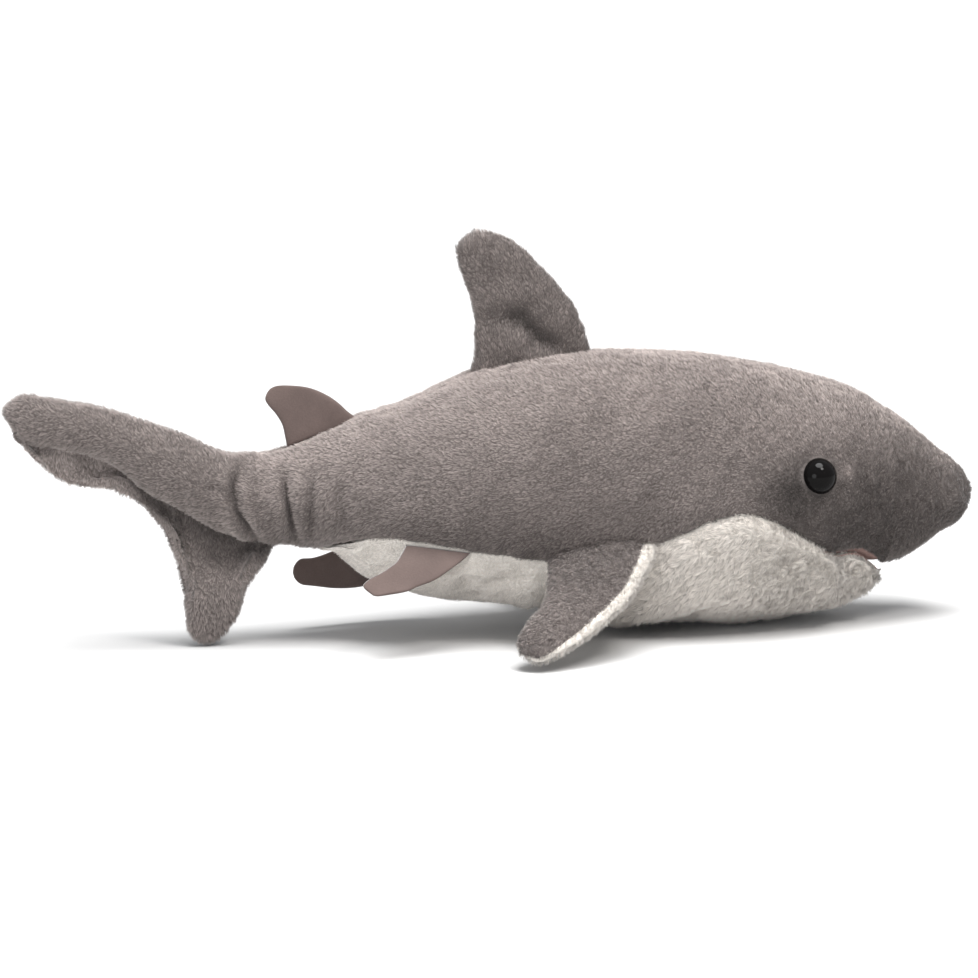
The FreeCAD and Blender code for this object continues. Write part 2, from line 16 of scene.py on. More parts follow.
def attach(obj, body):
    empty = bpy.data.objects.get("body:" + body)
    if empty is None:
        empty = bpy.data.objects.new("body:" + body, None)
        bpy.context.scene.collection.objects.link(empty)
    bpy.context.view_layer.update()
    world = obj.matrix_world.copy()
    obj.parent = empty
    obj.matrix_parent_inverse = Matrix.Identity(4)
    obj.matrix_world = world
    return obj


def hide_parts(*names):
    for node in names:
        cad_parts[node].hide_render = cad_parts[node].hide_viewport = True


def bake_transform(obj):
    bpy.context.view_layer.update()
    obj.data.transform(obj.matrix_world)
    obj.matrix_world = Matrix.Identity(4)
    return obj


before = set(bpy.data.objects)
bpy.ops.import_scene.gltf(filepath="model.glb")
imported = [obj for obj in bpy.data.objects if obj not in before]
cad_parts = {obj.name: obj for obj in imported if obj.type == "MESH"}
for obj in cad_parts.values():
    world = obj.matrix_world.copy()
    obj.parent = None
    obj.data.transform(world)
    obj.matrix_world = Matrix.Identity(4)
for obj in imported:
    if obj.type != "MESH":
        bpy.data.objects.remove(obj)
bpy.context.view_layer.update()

MM = 0.001

# ---------------- measurements, in millimetres

# The stuffed body: x, lowest z, highest z, half width. Rounded off over the last stretch at each end.
BODY = [
    (-164.6, 77.0, 88.0, 5.4),
    (-155.0, 69.8, 87.9, 6.6),
    (-146.0, 68.0, 86.0, 7.8),
    (-136.0, 65.2, 83.9, 8.6),
    (-126.0, 60.2, 81.1, 9.3),
    (-116.0, 52.0, 77.6, 10.2),
    (-106.0, 46.2, 73.2, 11.2),
    (-96.0, 39.6, 68.4, 12.2),
    (-88.0, 36.4, 65.4, 13.0),
    (-80.0, 33.8, 65.2, 13.9),
    (-68.0, 32.8, 68.0, 16.2),
    (-56.0, 28.8, 72.4, 20.0),
    (-44.0, 21.0, 76.9, 24.2),
    (-30.0, 16.2, 80.6, 29.4),
    (-10.0, 12.4, 88.6, 35.4),
    (12.0, 8.0, 94.0, 39.6),
    (38.0, 2.0, 95.6, 42.2),
    (62.0, 0.2, 94.2, 42.6),
    (85.0, 0.4, 90.8, 41.6),
    (104.0, 3.0, 86.4, 38.6),
    (116.0, 5.2, 82.4, 35.0),
    (126.0, 8.0, 78.8, 30.6),
    (136.0, 12.0, 73.2, 25.4),
    (145.0, 19.0, 66.6, 20.6),
    (153.0, 25.6, 59.4, 16.4),
    (160.0, 29.6, 54.2, 13.4),
    (166.0, 32.4, 50.6, 10.8),
]
NOSE_ROUNDING, TAIL_ROUNDING = 9.0, 9.0
# Underside of the head in front of the chin's root: x, z.
HEAD_FLOOR = [(100.0, 20.6), (121.0, 20.0), (132.0, 19.4), (140.0, 20.8), (147.0, 24.4), (154.0, 28.8),
              (165.0, 33.0)]
# Seam between grey and white, from the side: x, z.
SEAM = [(-62.0, 31.0), (-55.0, 34.2), (-41.0, 36.6), (-13.0, 32.6), (13.0, 28.4), (31.0, 29.4), (49.5, 33.6),
        (66.0, 40.4), (79.0, 43.6), (90.0, 40.0), (104.0, 31.4), (116.0, 24.0), (122.0, 20.4)]
WHITE_REAR, WHITE_SPLIT, MOUTH_CORNER = -61.5, 14.0, 118.0
TAIL_SEAM = -81.0
# Chin: x, lowest z.
CHIN = [(100.0, 2.4), (112.0, 4.2), (122.0, 6.6), (128.0, 9.2), (131.0, 11.6), (132.8, 14.0)]
CHIN_RADIUS, CHIN_TIP = 25.0, 132.8

# Fins, in a frame with X along the root and Z along the span: span, rear edge, front edge, thickness.
DORSAL = [(-3.0, -1.0, 41.0, 10.4), (4.0, 1.4, 40.6, 10.6), (10.0, 2.8, 39.4, 10.4), (17.0, 4.4, 37.0, 10.2),
          (24.0, 3.6, 33.2, 9.8), (30.0, 2.2, 29.4, 9.2), (36.0, 1.0, 25.0, 8.4), (41.0, 1.0, 20.6, 7.4),
          (46.0, 3.2, 15.0, 6.4)]
PECTORAL = [(-3.0, -18.5, 18.6, 10.6), (6.0, -19.2, 15.8, 10.8), (12.0, -20.2, 13.2, 10.6),
            (22.0, -22.4, 7.8, 10.0), (29.0, -28.2, 1.6, 9.2), (36.0, -32.0, -5.8, 8.2),
            (42.0, -31.4, -13.6, 7.2), (47.2, -28.4, -19.0, 6.2)]
# The suede leaves have one thickness, so their stations leave it out.
REAR_DORSAL = [(-2.0, 0.0, 26.4), (2.0, 0.7, 23.6), (6.0, 1.2, 21.6), (10.0, 0.5, 18.8), (14.0, -0.9, 14.6),
               (17.0, -1.4, 10.0), (18.9, -1.2, 7.4)]
PELVIC_RIGHT = [(-2.0, -10.0, 11.6), (3.0, -11.2, 8.6), (7.0, -12.5, 5.6), (11.8, -16.5, 1.4),
                (15.6, -20.6, -3.9), (18.6, -21.6, -8.0), (21.0, -19.6, -14.2)]
DORSAL_ROOT = (Vector((-6.6, 0, 90.8)), Vector((40.4, 0, 5.8)), Vector((-5.8, 0, 40.4)))
REAR_DORSAL_ROOT = (Vector((-70.2, 0, 68.2)), Vector((23.5, 0, 8.0)), Vector((-8.0, 0, 23.5)))
PECTORAL_ROOT = (Vector((31.5, -38.1, 30.7)), Vector((36.2, -5.6, 5.1)), Vector((-3.4, -45.2, -25.6)))
PELVIC_RIGHT_ROOT = (Vector((-23.4, -29.4, 33.4)), Vector((19.9, -4.0, -2.8)), Vector((-5.1, -16.3, -13.0)))
# The left pelvic fin lies swept back, so its stations run from its front end to its tip.
PELVIC_LEFT = [(-11.6, -2.0, 0.6), (-5.0, -2.0, 8.6), (0.0, -2.0, 12.6), (6.0, -2.0, 16.0),
               (12.0, -1.2, 17.8), (20.0, 1.2, 18.6), (30.0, 2.8, 17.2), (38.0, 3.8, 14.6),
               (43.0, 3.2, 13.0), (45.4, 3.6, 12.2)]
PELVIC_LEFT_ROOT = (Vector((-24.0, 29.4, 32.5)), Vector((0.7, 4.5, -16.3)), Vector((-19.9, -4.4, -2.0)))
# The last stretch of a fin's span, over which its edges close round its tip.
FIN_TIP, LEAF_TIP = 5.0, 4.0
LEAF_THICKNESS = 1.3

# The flap under the upper lobe and the lower lobe, one pad: inner x, z, outer x, z, half thickness.
LOBE = [
    (-160.0, 77.0, -161.6, 75.0, 0.9),
    (-155.0, 73.0, -157.0, 68.0, 2.4),
    (-146.0, 72.0, -146.4, 57.6, 3.4),
    (-136.0, 69.0, -136.6, 55.0, 3.6),
    (-126.0, 64.0, -127.2, 53.2, 3.6),
    (-117.0, 57.0, -118.2, 47.0, 3.8),
    (-110.0, 51.0, -111.8, 36.6, 4.4),
    (-106.0, 49.0, -108.4, 24.0, 5.2),
    (-102.5, 47.0, -106.2, 11.0, 5.8),
    (-99.5, 45.5, -104.2, 2.8, 6.0),
    (-96.5, 44.0, -99.0, 0.0, 6.0),
    (-93.0, 42.5, -93.0, 1.8, 6.0),
    (-89.5, 41.0, -87.6, 8.6, 5.8),
    (-86.0, 40.0, -83.4, 18.6, 5.6),
    (-81.5, 39.0, -78.4, 25.4, 5.2),
    (-76.0, 38.5, -74.6, 32.0, 4.4),
    (-71.5, 38.0, -70.6, 35.2, 3.4),
]

EYE_CENTRE, EYE_RADIUS, EYE_RISE = (105.7, 55.0), 6.1, 4.8


# ---------------- numbers

def smooth(points, x, column=1):
    """Value at x of the smooth line through the points, whose first column is x."""
    table = np.array(points, float)
    px, py = table[:, 0], table[:, column]
    slope = np.gradient(py, px)
    x = np.clip(np.asarray(x, float), px[0], px[-1])
    i = np.clip(np.searchsorted(px, x) - 1, 0, len(px) - 2)
    gap = px[i + 1] - px[i]
    t = (x - px[i]) / gap
    return ((2 * t**3 - 3 * t**2 + 1) * py[i] + (t**3 - 2 * t**2 + t) * gap * slope[i]
            + (3 * t**2 - 2 * t**3) * py[i + 1] + (t**3 - t**2) * gap * slope[i + 1])


def step(low, high, x):
    """0 below low, 1 above high, smooth between them."""
    t = np.clip((np.asarray(x, float) - low) / (high - low), 0, 1)
    return t * t * (3 - 2 * t)


def mix(a, b, share):
    return a + (b - a) * share


def unit(v):
    return v / np.maximum(np.linalg.norm(v, axis=-1, keepdims=True), 1e-9)


def lattice(ix, iy, iz, seed):
    """A repeatable number from -1 to 1 for each cell corner."""
    n = ix * 73856093 ^ iy * 19349663 ^ iz * 83492791 ^ seed * 2654435761
    n = (n ^ (n >> 13)) * 1274126177
    n = n ^ (n >> 16)
    return (n & 0xFFFFFF) / 0x7FFFFF - 1


def noise(points, size, seed):
    """Smooth noise from -1 to 1 whose bumps are about size across."""
    p = np.asarray(points, float) / size
    cell = np.floor(p).astype(np.int64)
    f = p - cell
    f = f * f * (3 - 2 * f)
    total = np.zeros(p.shape[:-1])
    for corner in range(8):
        dx, dy, dz = corner & 1, corner >> 1 & 1, corner >> 2 & 1
        weight = ((f[..., 0] if dx else 1 - f[..., 0]) * (f[..., 1] if dy else 1 - f[..., 1])
                  * (f[..., 2] if dz else 1 - f[..., 2]))
        total += weight * lattice(cell[..., 0] + dx, cell[..., 1] + dy, cell[..., 2] + dz, seed)
    return total


def distance_to_line(points, line):
    """Distance of each 2-D point to an open line of 2-D points, and how far along it, from 0 to 1."""
    line = np.array(line, float)
    best = np.full(points.shape[:-1], 1e9)
    where = np.zeros(points.shape[:-1])
    for number, (a, b) in enumerate(zip(line, line[1:])):
        run = b - a
        t = np.clip(((points - a) @ run) / (run @ run), 0, 1)
        gap = np.linalg.norm(points - (a + t[..., None] * run), axis=-1)
        nearer = gap < best
        best = np.where(nearer, gap, best)
        where = np.where(nearer, (number + t) / (len(line) - 1), where)
    return best, where


# ---------------- the body's surface

def closing(x):
    """1 along the body, falling to 0 at the rounded tips of nose and tail."""
    nose = np.clip((x - BODY[-1][0] + NOSE_ROUNDING) / NOSE_ROUNDING, 0, 1)
    tail = np.clip((BODY[0][0] + TAIL_ROUNDING - x) / TAIL_ROUNDING, 0, 1)
    return np.sqrt(1 - nose**2) * np.sqrt(1 - tail**2)


def ring(x, low, top, half, angle, lower_power=1.0):
    """Right-hand point of a closed ring at x; angle runs from 90 degrees at its top to -90 at its bottom."""
    z = (low + top) / 2 + (top - low) / 2 * closing(x) * np.sin(angle)
    power = np.where(np.sin(angle) < 0, lower_power, 1.0)
    return np.stack([x + 0 * angle, -half * closing(x) * np.abs(np.cos(angle)) ** power, z], -1)


def body_ring(x, angle):
    return ring(x, smooth(BODY, x, 1), smooth(BODY, x, 2), smooth(BODY, x, 3), angle)


def mouth_half_width(x):
    """Half the mouth's width, seen from above."""
    ahead = np.maximum(x - (CHIN_TIP - CHIN_RADIUS), 0)
    return np.sqrt(np.maximum(CHIN_RADIUS**2 - ahead**2, 0))


def head_ring(x, v):
    """The head; v runs from its top to the edge of the palate or, in front of that, to its bottom."""
    half = smooth(BODY, x, 3)
    inward = np.clip(mouth_half_width(x) / half, 0, 0.97)
    angle = mix(math.pi / 2, np.arcsin(inward) - math.pi / 2, v)
    boxy = mix(1.0, 0.8, step(104, 124, x))
    return ring(x, smooth(HEAD_FLOOR, x), smooth(BODY, x, 2), half, angle, boxy)


def seam_angle(x):
    """Where on the body's ring the grey back ends."""
    low, top = smooth(BODY, x, 1), smooth(BODY, x, 2)
    level = (smooth(SEAM, x) - (low + top) / 2) / ((top - low) / 2)
    return np.where(x < WHITE_REAR, -math.pi / 2, np.arcsin(np.clip(level, -1, 1)))


def back_point(x, v):
    """The grey back on the right, from the seam along the top to its lower edge."""
    body = body_ring(x, mix(math.pi / 2, seam_angle(x), v))
    return mix(body, head_ring(x, v), step(106, 123, x)[..., None])


def chin_rim(x):
    """The chin's rim on the right, a little below the lip of the head."""
    lip = back_point(x, np.ones_like(x))
    opening = mix(0.6, 3.2, step(116, 131, x))
    return lip * np.array([1, 0.97, 1]) - opening[..., None] * np.array([0, 0, 1])


def chin_point(x, v):
    """The chin on the right, from its rim to the middle of its underside."""
    rim, low = chin_rim(x + 0 * v), smooth(CHIN, x, 1)
    angle = -v * math.pi / 2
    z = rim[..., 2] + (rim[..., 2] - low) * np.sin(angle)
    return np.stack([x + 0 * v, rim[..., 1] * np.cos(angle), z], -1)


def white_point(x, v):
    """The white underside on the right, from its seam or the chin's rim to the middle of the belly."""
    chin_share = step(104, 120, x)[..., None]
    point = mix(body_ring(x, mix(seam_angle(x), -math.pi / 2, v)), chin_point(x, v), chin_share)
    start = mix(body_ring(x, seam_angle(x)), chin_point(x, 0 * v), chin_share)
    sewn = (1 - v) ** 2 * (1 - step(MOUTH_CORNER - 16, MOUTH_CORNER + 4, x))
    return point + (back_point(x, np.ones_like(v)) - start) * sewn[..., None]


def rested(points):
    """Nothing reaches below the surface it rests on: the belly spreads there instead."""
    z = points[..., 2]
    lifted = np.where(z < 3, 3 - 3 * np.tanh((3 - z) / 3), z)
    return np.concatenate([points[..., :2], lifted[..., None]], -1)


def flipped(points):
    return points * np.array([1, -1, 1])


# ---------------- grids

def marks(count, tail=False, nose=False):
    """Numbers from 0 to 1, closer together at an end that is rounded off."""
    t = np.linspace(0, 1, count)
    if nose:
        t = mix(t, np.sin(t * math.pi / 2), 0.75)
    if tail:
        t = mix(t, 1 - np.cos(t * math.pi / 2), 0.75)
    return t


def upsample(field, rows, columns):
    """A coarse grid of vectors, smoothly brought up to rows by columns."""
    for axis, count in ((0, rows), (1, columns)):
        old = field.shape[axis]
        place = np.linspace(0, old - 1, count)
        i = np.clip(np.floor(place).astype(int), 0, old - 2)
        t = (place - i).reshape([-1 if k == axis else 1 for k in range(3)])
        before, after = np.maximum(i - 1, 0), np.minimum(i + 2, old - 1)
        p0, p1, p2, p3 = (np.take(field, k, axis) for k in (before, i, i + 1, after))
        field = 0.5 * (2 * p1 + (p2 - p0) * t + (2 * p0 - 5 * p1 + 4 * p2 - p3) * t**2
                       + (3 * p1 - p0 - 3 * p2 + p3) * t**3)
    return field


def quads(rows, columns):
    """Faces of a grid whose points run row by row."""
    i, j = np.meshgrid(np.arange(rows - 1), np.arange(columns - 1), indexing="ij")
    a = (i * columns + j).ravel()
    return np.stack([a, a + 1, a + columns + 1, a + columns], -1)


def grid_normals(points):
    """Unit normals of a grid, facing as its faces do; a row drawn together to a point has one normal."""
    across = np.gradient(points, axis=1)
    along = np.gradient(points, axis=0)
    normals = unit(np.cross(across, along))
    for row, beside in ((0, 1), (-1, -2)):
        if np.ptp(points[row], axis=0).max() < 0.1:
            normals[row] = unit(normals[beside].mean(axis=0))
    return normals


def put(name, data):
    """A new object of the scene."""
    obj = bpy.data.objects.new(name, data)
    bpy.context.scene.collection.objects.link(obj)
    return obj


def inflate(points, cap, pressure, slack):
    """How far stuffing pushes a coarse grid out between its seams, found by cloth simulation."""
    rows, columns, _ = points.shape
    mesh = bpy.data.meshes.new("inflating")
    mesh.from_pydata((points.reshape(-1, 3) * MM).tolist(), [], quads(rows, columns).tolist())
    skin = put("inflating", mesh)
    index = np.arange(rows * columns).reshape(rows, columns)
    border = np.unique(np.concatenate([index[0], index[-1], index[:, 0], index[:, -1]]))
    group = skin.vertex_groups.new(name="seams")
    group.add(border.tolist(), 1.0, "REPLACE")
    cloth = skin.modifiers.new("Cloth", "CLOTH")
    cloth.settings.quality = 6
    cloth.settings.mass = 0.2
    cloth.settings.tension_stiffness = 12
    cloth.settings.compression_stiffness = 12
    cloth.settings.shear_stiffness = 6
    cloth.settings.bending_stiffness = 0.6
    cloth.settings.vertex_group_mass = "seams"
    cloth.settings.shrink_min = -slack
    cloth.settings.use_pressure = True
    cloth.settings.uniform_pressure_force = pressure
    cloth.settings.effector_weights.gravity = 0
    cloth.collision_settings.use_collision = False
    cloth.collision_settings.use_self_collision = False
    scene = bpy.context.scene
    for number in range(1, 21):
        scene.frame_set(number)
    shaped = skin.evaluated_get(bpy.context.evaluated_depsgraph_get())
    moved = np.empty(rows * columns * 3, np.float32)
    shaped.data.vertices.foreach_get("co", moved)
    scene.frame_set(1)
    bpy.data.objects.remove(skin)
    bpy.data.meshes.remove(mesh)
    push = moved.reshape(rows, columns, 3) / MM - points
    length = np.linalg.norm(push, axis=-1, keepdims=True)
    return push * np.minimum(1, cap / np.maximum(length, 1e-9))


def make_mesh(name, points, faces, fields=None):
    """A smooth-shaded object from points in millimetres, with named values at its points."""
    mesh = bpy.data.meshes.new(name)
    flat = points.reshape(-1, 3)
    mesh.vertices.add(len(flat))
    mesh.vertices.foreach_set("co", (flat * MM).astype(np.float32).ravel())
    faces = np.asarray(faces)
    sides = faces.shape[1]
    mesh.loops.add(faces.size)
    mesh.loops.foreach_set("vertex_index", faces.astype(np.int32).ravel())
    mesh.polygons.add(len(faces))
    mesh.polygons.foreach_set("loop_start", np.arange(0, faces.size, sides, dtype=np.int32))
    mesh.update(calc_edges=True)
    mesh.validate()
    mesh.shade_smooth()
    for field, values in {"place": flat * MM, **(fields or {})}.items():
        kind, key = ("FLOAT_VECTOR", "vector") if values.size == flat.size else ("FLOAT", "value")
        layer = mesh.attributes.new(field, kind, "POINT")
        layer.data.foreach_set(key, values.astype(np.float32).ravel())
    return put(name, mesh)


# ---------------- sewn panels

def border_distances(points):
    """How far each point of a grid is from its first and last row and its first and last column."""
    found = []
    for axis in (0, 1):
        run = np.linalg.norm(np.diff(points, axis=axis), axis=-1)
        start = np.zeros(points.shape[:2])
        start[(slice(1, None),) if axis == 0 else (slice(None), slice(1, None))] = np.cumsum(run, axis=axis)
        end = np.take(start, [-1], axis=axis) - start
        found += [start, end]
    return found


def with_allowance(points, normals, depth):
    """The grid with its border turned in by a seam allowance."""
    inner = points - normals * depth
    rows = np.concatenate([inner[:1], points, inner[-1:]], axis=0)
    left = np.concatenate([inner[:1, :1], inner[:, :1], inner[-1:, :1]], axis=0)
    right = np.concatenate([inner[:1, -1:], inner[:, -1:], inner[-1:, -1:]], axis=0)
    return np.concatenate([left, rows, right], axis=1)


def with_border(values):
    """The same padding for a field of numbers or vectors: each border value is repeated."""
    pad = [(1, 1), (1, 1)] + [(0, 0)] * (values.ndim - 2)
    return np.pad(values, pad, mode="edge")


def panel(name, surface, u, v, coarse, cap, seams, nap, pile=1.0, tuft=1.0, pressure=3.0, slack=0.02,
          creases=None, resting=False, room=1.0, shading=None, allowance=2.5):
    """A plush panel: surface(u, v) gives its points, u along the rows and v along the columns.

    seams says how deep the groove is along the first and last row and the first and last column,
    and room is left under the outline for the pile.
    nap(points, along, across) is the direction in which the pile lies.
    """
    pick_u = np.interp(np.linspace(0, 1, coarse[0]), np.linspace(0, 1, len(u)), u)
    pick_v = np.interp(np.linspace(0, 1, coarse[1]), np.linspace(0, 1, len(v)), v)
    push = inflate(surface(*np.meshgrid(pick_u, pick_v, indexing="ij")), cap, pressure, slack)
    points = surface(*np.meshgrid(u, v, indexing="ij")) + upsample(push, len(u), len(v))
    if resting:
        points = rested(points)
    normals = grid_normals(points)
    edges = border_distances(points)
    offset = 0.6 * noise(points, 22, 3) + 0.35 * noise(points, 9, 5) - room
    quiet = np.ones(points.shape[:2])
    for distance, depth in zip(edges, seams):
        if depth:
            ragged = 1 + 0.5 * noise(points, 5, 11)
            offset -= depth * ragged * np.exp(-(distance / 2.2) ** 2)
            offset += 0.5 * depth * noise(points, 4.5, 17) * np.exp(-distance / 5)
            quiet *= 1 - 0.45 * np.exp(-(distance / 1.5) ** 2)
    shade = np.ones(points.shape[:2]) if shading is None else shading(points)
    if creases is not None:
        crease = creases(points)
        offset += crease
        # Painted shade darkens the cloth in the creases.
        shade = shade * np.clip(1 + 0.28 * crease, 0.4, 1.08)
        quiet *= np.clip(1 + 0.2 * crease, 0.45, 1.1)
    offset += tuft * (0.34 * noise(points, 2.8, 23) + 0.20 * noise(points, 1.4, 29))
    points = points + normals * offset[..., None]
    if resting:
        points = rested(points)
    along, across = unit(np.gradient(points, axis=0)), unit(np.gradient(points, axis=1))
    lie = unit(nap(points, along, across))
    size = pile(points) if callable(pile) else np.full(points.shape[:2], pile)
    whole = with_allowance(points, grid_normals(points), allowance)
    fields = {"nap": with_border(lie), "pile": with_border(size * quiet), "shade": with_border(shade)}
    fields["pile"][[0, -1], :] = 0
    fields["pile"][:, [0, -1]] = 0
    return make_mesh(name, whole, quads(*whole.shape[:2]), fields)


# ---------------- what the skin does in places

# Folds in the side of the tail: their line from the side (x, z), depth and width.
TAIL_FOLDS = [
    ([(-85.6, 62.0), (-88.3, 55.4), (-87.5, 47.0), (-83.8, 40.5), (-80.0, 34.0)], 2.0, 1.5),
    ([(-71.3, 61.0), (-71.0, 52.0), (-69.8, 44.5), (-67.8, 36.0)], 2.0, 1.3),
    ([(-62.6, 60.0), (-62.9, 46.0), (-63.2, 39.0)], 1.1, 1.3),
    ([(-53.0, 58.0), (-53.8, 50.0), (-52.0, 42.0)], 0.7, 1.6),
    ([(-98.5, 55.0), (-94.0, 56.0), (-90.5, 53.0), (-91.0, 47.0)], 0.6, 1.2),
]
DORSAL_FOLD = ([(1.9, 108.8), (10.4, 107.8), (16.9, 100.7), (25.3, 96.9)], 1.9, 3.4)


def fold(points, line, depth, width):
    """A groove along a line seen from the side, fading out at its ends."""
    distance, along = distance_to_line(points[..., [0, 2]], line)
    fade = step(0, 0.25, along) * (1 - step(0.75, 1, along)) * 0.7 + 0.3
    ridge = 0.35 * np.exp(-((distance - 2.4 * width) / width) ** 2)
    return depth * fade * (ridge - np.exp(-(distance / width) ** 2))


def eye_place(side):
    """The point of the cheek where an eye sits, and the direction out of it; side is -1 on the right."""
    x, z = EYE_CENTRE

    def cheek(at_x, at_z):
        low, top = smooth(BODY, at_x, 1), smooth(BODY, at_x, 2)
        angle = np.arcsin((at_z - (low + top) / 2) / ((top - low) / 2))
        return body_ring(np.array(at_x), np.array(angle)) * np.array([1, -side, 1])

    point = cheek(x, z)
    out = np.cross(cheek(x + 2, z) - point, cheek(x, z + 2) - point)
    out = unit(out * -side)
    return point, out if out[1] * side > 0 else -out


def eye_distance(points):
    near = np.full(points.shape[:2], 1e9)
    for side in (-1, 1):
        near = np.minimum(near, np.linalg.norm(points - eye_place(side)[0], axis=-1))
    return near


def back_creases(points):
    """Folds of the tail stock, and the hollow that each eye is pulled into."""
    total = -1.2 * np.exp(-(eye_distance(points) / 8.0) ** 2)
    for line, depth, width in TAIL_FOLDS:
        total = total + fold(points, line, depth, width)
    return total


def back_pile(points):
    """Short at the eyes and the tip of the snout."""
    return step(6.1, 8.4, eye_distance(points)) * (1 - 0.25 * step(140, 160, points[..., 0]))


def shade_at(points):
    """Painted light and shade on the back's cloth: painted shade low down, on the cheek and behind each eye,
    painted light along the top, and lighter just before each eye.
    """
    x, z = points[..., 0], points[..., 2]
    low, top = smooth(BODY, x, 1), smooth(BODY, x, 2)
    cheek = step(82, 98, x) * (1 - step(50, 66, z))
    share = (z - low) / (top - low)
    # Painted shade low down and on the cheek, painted light along the top.
    light = (mix(0.74, 1.06, step(0.25, 0.7, share)) + 0.2 * step(0.7, 1.0, share)) * (1 - 0.26 * cheek)
    # Painted shade behind and below each eye.
    light = light * (1 - 0.52 * np.exp(-((x - 95) / 11) ** 2 - ((z - 50) / 9) ** 2))
    light = light * (1 + 0.10 * noise(points, 16, 51) + 0.08 * noise(points, 6, 53))
    for side in (-1, 1):
        tuft = eye_place(side)[0] + np.array([9.6, side * -2.0, 0.4])
        light = light + 0.8 * np.exp(-(np.linalg.norm(points - tuft, axis=-1) / 2.6) ** 2)
    return light


def even(tone):
    """Painted light and shade as one factor, the same all over a panel, but for what handling leaves."""
    return lambda points: tone * (1 + 0.09 * noise(points, 16, 51) + 0.08 * noise(points, 6, 53))


def lobe_shade(points):
    """Painted shadow in the hollow below the tail's column, and painted light on the flap at the tail's end.
    """
    x, z = points[..., 0], points[..., 2]
    under = np.maximum(smooth(BODY, x, 1) - z, 0)
    # Painted shadow in the hollow and along the column's lower edge.
    hollow = step(-130, -114, x) * np.exp(-(under / 6.0) ** 2) + 0.35 * np.exp(-(under / 1.5) ** 2)
    # Painted light: the flap at the tail's end is made 1.3 times lighter.
    tone = mix(1.3, 1.0, step(-126, -112, x))
    return even(tone)(points) * (1 - 0.55 * np.minimum(hollow, 1))


def backwards(points, along, across):
    """The pile of the body lies from the nose to the tail."""
    return -along


# ---------------- fins

def frame_at(root):
    """Origin and axes (along, out, span) of a fin's root."""
    origin, along, span = root
    x = along.normalized()
    z = (span - x * span.dot(x)).normalized()
    y = z.cross(x)
    return np.array(origin), np.array([x, y, z])


def mirrored(root):
    return tuple(Vector((v.x, -v.y, v.z)) for v in root)


def fin_surface(table, root, front_wrap=0.0):
    """surface(span, c) of one side of a fin; c runs from 0 at its rear edge to 1 at its front edge.

    front_wrap is the angle by which the side at local -y reaches round the front edge.
    """
    origin, axes = frame_at(root)
    top = table[-1][0]

    def surface(side):
        def place(span, c):
            close = np.sqrt(np.maximum(1 - np.clip((span - top + FIN_TIP) / FIN_TIP, 0, 1) ** 2, 0))
            rear, front, thick = (smooth(table, span, column) for column in (1, 2, 3))
            middle, half = (rear + front) / 2, (front - rear) / 2 * close
            last = math.pi + front_wrap * (1 if side < 0 else -1)
            angle = c * last
            y = side * np.sin(angle) * thick / 2 * close
            local = np.stack([middle - half * np.cos(angle), y, span], -1)
            return origin + local @ axes
        return place

    return surface


def rootwards(points, along, across):
    """The pile of a fin lies from its root to its tip."""
    return along


def make_fin(names, table, root, painted_shades, front_wrap=0.0, creases=None, rows=70, columns=60):
    """Two panels of a stuffed fin: names are those of its sides at local -y and +y, and each side's colour
    is scaled by a painted shade.
    """
    made = []
    surfaces = fin_surface(table, root, front_wrap)
    span = mix(table[0][0], table[-1][0], marks(rows, nose=True))
    for name, tone, side in zip(names, painted_shades, (-1, 1)):
        c = np.linspace(0, 1, columns) if side < 0 else np.linspace(1, 0, columns)
        made.append(panel(name, surfaces(side), span, c, (14, 10), 1.6, (0, 0, 0.7, 0.7), rootwards,
                          tuft=1.1, pressure=2.5, slack=0.03, creases=creases, room=0.3,
                          shading=even(tone)))
    return made


# ---------------- materials

class Nodes:
    """A node tree that is written down as calls."""

    def __init__(self, tree):
        self.tree = tree

    def add(self, kind, inputs=None, **settings):
        node = self.tree.nodes.new(kind)
        for key, setting in settings.items():
            setattr(node, key, setting)
        self.fill(node, inputs or {})
        return node

    def fill(self, node, inputs):
        """Gives a node's inputs their values, or links them where the source is another node's socket."""
        for key, source in inputs.items():
            socket = node.inputs[key]
            if isinstance(source, bpy.types.NodeSocket):
                self.tree.links.new(source, socket)
            else:
                socket.default_value = source

    def maths(self, operation, a, b=0.0, c=0.0):
        return self.add("ShaderNodeMath", {0: a, 1: b, 2: c}, operation=operation).outputs[0]

    def vectors(self, operation, a, b=(0, 0, 0)):
        return self.add("ShaderNodeVectorMath", {0: a, 1: b}, operation=operation).outputs[0]

    def scaled(self, vector, factor):
        inputs = {"Vector": vector, "Scale": factor}
        return self.add("ShaderNodeVectorMath", inputs, operation="SCALE").outputs[0]

    def attribute(self, name, output="Fac"):
        return self.add("ShaderNodeAttribute", attribute_name=name).outputs[output]

    def bump(self, height, strength, distance):
        inputs = {"Height": height, "Strength": strength, "Distance": distance}
        return self.add("ShaderNodeBump", inputs).outputs[0]

    def ramp(self, factor, *stops):
        """A colour that runs between two stops, each a position and a colour."""
        node = self.add("ShaderNodeValToRGB", {"Fac": factor})
        for element, (position, colour) in zip(node.color_ramp.elements, stops):
            element.position, element.color = position, (*colour, 1)
        return node.outputs[0]


def new_material(name):
    material = bpy.data.materials.new(name)
    material.use_nodes = True
    material.node_tree.nodes.clear()
    nodes = Nodes(material.node_tree)
    shader = nodes.add("ShaderNodeBsdfPrincipled")
    nodes.add("ShaderNodeOutputMaterial", {"Surface": shader.outputs[0]})
    return material, nodes, shader


def place_noise(nodes, scale, detail=3.0, roughness=0.6):
    """Noise fixed to the cloth, from 0 to 1."""
    inputs = {"Vector": nodes.attribute("place", "Vector"), "Scale": scale, "Detail": detail,
              "Roughness": roughness}
    return nodes.add("ShaderNodeTexNoise", inputs).outputs[0]


